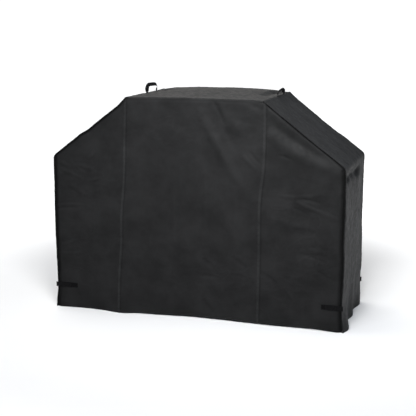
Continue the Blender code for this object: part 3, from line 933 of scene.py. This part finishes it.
# ------------------------------------------------------------------------------------------------------
# Handles: a loop of 20 mm webbing at each end of the top, its ends caught in the seam. The webbing turns as
# it rises from each foot. The left one stands 39 mm high, its back leg bulging 12 mm past the foot, and the
# right one 26 mm.
# ------------------------------------------------------------------------------------------------------
WEBBING_WIDTH = 0.020
WEBBING_THICKNESS = 0.0016

webbing_finish = trim_material("webbing", (0.0012, 0.0012, 0.0014), (0.0060, 0.0060, 0.0065), 0.75, 0.0016,
                               0.0011, 0.00035, 0.005)


def smooth_path(points, count):
    """Even points on a smooth curve through the given ones, whatever they measure."""
    points = np.array(points, float)
    knots = travelled(points[:, :3])
    line = curve(np.linspace(0, knots[-1], 600), knots, points, np.gradient(points, knots, axis=0))
    travel = travelled(line[:, :3])
    even = np.linspace(0, travel[-1], count)
    return np.stack([np.interp(even, travel, line[:, k]) for k in range(line.shape[1])], -1)


def stacked(rings, size):
    """Faces of a closed stack of rings of points, where a ring goes along one side and comes back."""
    faces = []
    for first in range(0, (rings - 1) * size, size):
        for i in range(size):
            j = (i + 1) % size
            faces.append((first + i, first + j, first + size + j, first + size + i))
    for first in (0, (rings - 1) * size):
        for i in range(size // 2 - 1):
            quad = (first + i, first + i + 1, first + size - 2 - i, first + size - 1 - i)
            faces.append(quad if first else quad[::-1])
    return faces


def webbing_ribbon(name, path, width_ways, widths, thickness, finish):
    """Flat webbing along a path: width_ways is the direction of its width at each point."""
    path, width_ways = np.array(path), np.array(width_ways)
    along = unit(np.gradient(path, axis=0))
    width_ways = unit(width_ways - along * (width_ways * along).sum(1, keepdims=True))
    through = np.cross(along, width_ways)
    share = (-1, -0.97, -0.90, -0.6, -0.3, 0, 0.3, 0.6, 0.90, 0.97, 1)
    swell = (0.35, 0.80, 1.06, 0.98, 1, 1, 1, 0.98, 1.06, 0.80, 0.35)
    rim = list(zip(share, swell)) + [(a, -t) for a, t in zip(share[::-1], swell[::-1])]
    travel = travelled(path)
    vertices, places = [], []
    for k, centre in enumerate(path):
        for a, t in rim:
            from_middle = a * widths[k] / 2
            vertices.append(tuple(centre + width_ways[k] * from_middle + through[k] * (t * thickness / 2)))
            places.append((from_middle + (0.5 if t < 0 else 0), travel[k]))
    return new_object(name, vertices, stacked(len(path), len(rim)), finish, places)


# Each handle's middle line: height, distance behind the front foot and lean outwards in millimetres, and
# the turn of the webbing in degrees, where 90 lies in the seam's own plane and 0 straight across it.
HANDLE_SHAPES = {
    "left": [(0, 4, 0, 90), (8, 4, 0, 50), (22, 5, 0, 35), (34, 12, -1, 50), (39, 28, -2, 62),
             (39, 58, -2, 64), (38, 90, -2, 64), (36, 120, -2, 64), (30, 144, -2, 66), (18, 154, -1, 74),
             (7, 150, 0, 84), (0, 142, 0, 90)],
    "right": [(0, -4, 0, 90), (8, -6, 0, 60), (16, -2, 0, 45), (21, 12, -1, 58), (24, 40, -1, 62),
              (26, 70, -1, 62), (26, 96, -1, 62), (22, 116, -1, 52), (14, 126, 0, 50), (7, 128, 0, 75),
              (0, 126, 0, 90)],
}
for side_name, side in (("left", -1), ("right", 1)):
    low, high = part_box(f"{side_name}_handle")
    front_foot = low.y + WEBBING_WIDTH / 2
    points = [(side * (SEAM_X + lean / 1000), front_foot + back / 1000,
               low.z - WEBBING_THICKNESS + height / 1000, math.radians(turn))
              for height, back, lean, turn in HANDLE_SHAPES[side_name]]
    line = smooth_path(points, 90)
    along = unit(np.gradient(line[:, :3], axis=0))
    outwards = np.stack([np.zeros(len(line)), -along[:, 2], along[:, 1]], -1)
    turn = line[:, 3:]
    ways = np.array([[side, 0, 0]]) * np.cos(turn) + outwards * np.sin(turn)
    handle = webbing_ribbon(f"{side_name}_webbing_handle", line[:, :3], ways, [WEBBING_WIDTH] * len(line),
                            WEBBING_THICKNESS, webbing_finish)
    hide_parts(f"{side_name}_handle")
    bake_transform(handle)

# ------------------------------------------------------------------------------------------------------
# Straps: 25 mm webbing caught in each corner seam. The free end lies along the front or back, with hook
# tape sewn under it, on a patch of loop tape. Webbing and patch are darker and rougher than the cloth.
# ------------------------------------------------------------------------------------------------------
hook_finish = trim_material("hook_tape", (0.006, 0.006, 0.007), (0.025, 0.025, 0.026), 0.45, 0.0018, 0.0018,
                            0.0003, 0.0)
loop_finish = trim_material("loop_tape", (0.0012, 0.0012, 0.0013), (0.0055, 0.0055, 0.0060), 0.9, 0.0013,
                            0.0009, 0.0004, 0.01)
HOOK_PITCH = 0.0018
HOOK_HEIGHT = 0.0009
STRAP_THICKNESS = 0.0014
TIP_ROUND = 0.004
PATCH_EXTRA = 0.013  # how much farther the left patches reach
PATCH_SUNK = 0.0002  # how far a patch is pressed into the cloth
STITCH_INSET = 0.002


def soft_slab(name, low, high, edge, finish, corner):
    """A flat rectangle of tape with rounded corners and rounded edges, lying in XZ."""
    low, high = Vector(low), Vector(high)
    middle_x, middle_z = (low.x + high.x) / 2, (low.z + high.z) / 2
    half_x, half_z = (high.x - low.x) / 2, (high.z - low.z) / 2
    outline = []
    for quarter, (sign_x, sign_z) in enumerate(((1, 1), (-1, 1), (-1, -1), (1, -1))):
        for step in range(7):
            turn = math.pi / 2 * (quarter + step / 6)
            outline.append((sign_x * (half_x - corner) + corner * math.cos(turn),
                            sign_z * (half_z - corner) + corner * math.sin(turn)))
    layers = [(0, low.y), (0, high.y - edge), (edge * 0.3, high.y - edge * 0.3), (edge, high.y),
              (edge * 4, high.y)]
    places = [(x * (half_x - inset) / half_x, z * (half_z - inset) / half_z)
              for inset, y in layers for x, z in outline]
    heights = [y for inset, y in layers for point in outline]
    vertices = [(middle_x + x, y, middle_z + z) for (x, z), y in zip(places, heights)]
    faces = [face[::-1] for face in stacked(len(layers), len(outline))]
    return new_object(name, vertices, faces, finish, places)


def stitched_box(low, high, y, facing):
    """Rows of stitching inside the edges of a rectangle, on a face that looks forward or back."""
    x0, x1 = low.x + STITCH_INSET, high.x - STITCH_INSET
    z0, z1 = low.z + STITCH_INSET, high.z - STITCH_INSET
    corners = [(x0, y, z0), (x1, y, z0), (x1, y, z1), (x0, y, z1), (x0, y, z0)]
    return [(np.array(ends), np.tile([0, float(facing), 0], (2, 1))) for ends in zip(corners, corners[1:])]


dark_thread = thread_material("webbing_thread", 0.25)
for end, facing in (("front", -1), ("back", 1)):
    for side_name, side in (("left", -1), ("right", 1)):
        name = f"{end}_{side_name}"
        body = f"{name}_strap"
        strap_low, strap_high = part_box(f"{name}_strap")
        hook_low, hook_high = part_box(f"{name}_hook_tape")
        patch_low, patch_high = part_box(f"{name}_loop_patch")
        middle_z = (strap_low.z + strap_high.z) / 2
        tip_x = strap_low.x if side > 0 else strap_high.x
        outer_y = strap_low.y if facing < 0 else strap_high.y
        root_radius = (abs(outer_y) - FRONT_Y) / 2 - 0.0001
        root_x = (strap_high.x if side > 0 else strap_low.x) - side * root_radius
        root_y = outer_y - facing * root_radius
        inner_radius = root_radius - STRAP_THICKNESS / 2
        line = []
        for t in np.linspace(0, 1, 26)[:-1]:
            wave = 0.0009 * math.sin(math.pi * t) ** 2 * math.sin(5 * t + side)
            line.append((tip_x + side * abs(root_x - tip_x) * t, root_y + facing * (inner_radius + wave),
                         middle_z))
        for turn in np.linspace(math.pi / 2, -0.9 * math.pi, 18):
            line.append((root_x + side * inner_radius * math.cos(turn),
                         root_y + facing * inner_radius * math.sin(turn), middle_z))
        line = np.array(line)
        width = strap_high.z - strap_low.z
        to_round = np.clip(TIP_ROUND - np.abs(line[:, 0] - tip_x), 0, None)
        widths = width - 2 * (TIP_ROUND - np.sqrt(TIP_ROUND ** 2 - to_round ** 2))
        ways = np.tile([0, 0, 1.0], (len(line), 1))
        strap = webbing_ribbon(f"{name}_webbing_strap", line, ways, widths, STRAP_THICKNESS, webbing_finish)
        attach(strap, body)
        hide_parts(f"{name}_strap")

        outer, inner = (hook_low.y, hook_high.y) if facing < 0 else (hook_high.y, hook_low.y)
        hook_low.y, hook_high.y = 0.0, abs(outer - inner) * 0.45
        hook = soft_slab(f"{name}_hook_base", hook_low, hook_high, 0.0002, hook_finish, 0.0015)
        hooks = bmesh.new()
        hooks.from_mesh(hook.data)
        for x in np.arange(hook_low.x + 0.0025, hook_high.x - 0.002, HOOK_PITCH):
            for z in np.arange(hook_low.z + 0.0025, hook_high.z - 0.002, HOOK_PITCH):
                lean = 0.00035 if round(x / HOOK_PITCH) % 2 else -0.00035
                rings = []
                for rise, forward, half in ((0, 0, 0.00020), (0.6, 0, 0.00014), (1.0, 0.5, 0.00016),
                                            (0.75, 1.0, 0.00010)):
                    at = Vector((x + lean * forward, hook_high.y + rise * (HOOK_HEIGHT - hook_high.y), z))
                    rings.append([hooks.verts.new(at + Vector((half * a, 0, half * b)))
                                  for a, b in ((-1, -1), (1, -1), (1, 1), (-1, 1))])
                for below, above in zip(rings, rings[1:]):
                    for i in range(4):
                        hooks.faces.new((below[i - 1], above[i - 1], above[i], below[i]))
                hooks.faces.new(rings[-1][::-1])
        hooks.to_mesh(hook.data)
        hooks.free()
        hook.data.transform(Matrix.Translation((0, outer, 0)) @ Matrix.Scale(-facing, 4, (0, 1, 0)))
        if facing > 0:
            hook.data.flip_normals()
        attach(hook, body)
        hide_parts(f"{name}_hook_tape")

        inner_face = min(abs(patch_low.y), abs(patch_high.y))
        patch_thickness = abs(patch_high.y - patch_low.y)
        patch_low.y, patch_high.y = 0.0, patch_thickness
        if side < 0:
            patch_high.x += PATCH_EXTRA
        patch = soft_slab(f"{name}_loop_pad", patch_low, patch_high, 0.0004, loop_finish, 0.002)
        patch.data.transform(Matrix.Translation((0, facing * (inner_face - PATCH_SUNK), 0))
                             @ Matrix.Scale(facing, 4, (0, 1, 0)))
        if facing < 0:
            patch.data.flip_normals()
        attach(patch, "cover")
        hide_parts(f"{name}_loop_patch")

        seam_rows = stitched_box(hook_low, hook_high, outer_y, facing)
        stitches_along(seam_rows, f"{name}_strap_stitches", body, dark_thread)
        patch_y = facing * (inner_face + patch_thickness - PATCH_SUNK)
        patch_rows = stitched_box(patch_low, patch_high, patch_y, facing)
        stitches_along(patch_rows, f"{name}_patch_stitches", "cover", dark_thread)

# ------------------------------------------------------------------------------------------------------
# The studio: a plain pale floor under a broad daylight from above, the left and behind, with soft lights
# behind, to the right, in front and high on the right. The far floor glows faintly, so that it runs to white.
# ------------------------------------------------------------------------------------------------------
HALF_FLOOR = 30.0
GLOW_FROM, GLOW_TO = 0.9, 3.2  # distance from the middle over which the floor's glow grows
FLOOR_GLOW = 0.55

floor_material, floor_tree, floor_shader, add = blank_material("floor", 0.9)
floor_place = add("ShaderNodeTexCoord").outputs["Object"]
paint = add("ShaderNodeTexNoise", Vector=floor_place, Scale=3.0)
tint = colour_between(add, paint.outputs[0], (0.78, 0.78, 0.78), (0.80, 0.80, 0.80))
floor_tree.links.new(tint, floor_shader.inputs["Base Color"])
floor_shader.inputs["Specular IOR Level"].default_value = 0.0
from_middle = add("ShaderNodeVectorMath", {"operation": "LENGTH"}, i0=floor_place)
glow = add("ShaderNodeMapRange", {"interpolation_type": "SMOOTHSTEP"}, i0=from_middle.outputs["Value"],
           i1=GLOW_FROM, i2=GLOW_TO, i3=0.0, i4=FLOOR_GLOW)
floor_tree.links.new(glow.outputs[0], floor_shader.inputs["Emission Strength"])
floor_shader.inputs["Emission Color"].default_value = (1.0, 1.0, 1.0, 1)
floor_corners = [(HALF_FLOOR * x, HALF_FLOOR * y, 0) for x, y in ((-1, -1), (1, -1), (1, 1), (-1, 1))]
floor = new_object("floor", floor_corners, [(0, 1, 2, 3)], floor_material)

world = bpy.data.worlds.new("studio")
world.use_nodes = True
bpy.context.scene.world = world
world_tree = world.node_tree
around = world_tree.nodes["Background"]
around.inputs["Color"].default_value = (0.84, 0.93, 1.08, 1)
around.inputs["Strength"].default_value = 0.24
seen = world_tree.nodes.new("ShaderNodeBackground")
seen.inputs["Color"].default_value = (1, 1, 1, 1)
seen.inputs["Strength"].default_value = 1.1
chosen = world_tree.nodes.new("ShaderNodeMixShader")
rays = world_tree.nodes.new("ShaderNodeLightPath")
world_tree.links.new(rays.outputs["Is Camera Ray"], chosen.inputs[0])
world_tree.links.new(around.outputs[0], chosen.inputs[1])
world_tree.links.new(seen.outputs[0], chosen.inputs[2])
world_tree.links.new(chosen.outputs[0], world_tree.nodes["World Output"].inputs["Surface"])


def soft_light(name, location, target, size, power, colour, spread=180):
    """An area light that faces a target; the spread is in degrees."""
    light = bpy.data.lights.new(name, "AREA")
    light.shape = "RECTANGLE"
    light.size, light.size_y = size
    light.energy = power
    light.color = colour
    light.spread = math.radians(spread)
    holder = bpy.data.objects.new(name, light)
    holder.location = location
    holder.rotation_euler = (Vector(target) - Vector(location)).to_track_quat("-Z", "Y").to_euler()
    bpy.context.scene.collection.objects.link(holder)


daylight = bpy.data.lights.new("ceiling", "SUN")
daylight.energy = 1.95
daylight.angle = math.radians(80)
daylight.color = (1.02, 0.99, 0.94)
daylight_holder = bpy.data.objects.new("ceiling", daylight)
daylight_holder.rotation_euler = Vector((-0.60, 0.30, 0.74)).to_track_quat("Z", "Y").to_euler()
bpy.context.scene.collection.objects.link(daylight_holder)
soft_light("behind", (-1.4, 4.6, 2.0), (-0.1, 0, 1.1), (2.4, 0.9), 5.0, (1.0, 0.94, 0.85), 120)
soft_light("right", (2.6, 0.4, 0.30), (0.7, 0, 0.1), (1.0, 0.5), 4.2, (0.95, 0.97, 1.0), 90)
soft_light("front", (-0.4, -4.2, 4.2), (0, 0, 0.9), (2.5, 1.5), 135, (0.97, 0.98, 1.0))
soft_light("high_right", (0.75, -2.2, 2.5), (0.30, 0, 1.05), (0.8, 0.8), 27, (0.98, 0.99, 1.0), 80)
bpy.context.scene.view_settings.view_transform = "Standard"
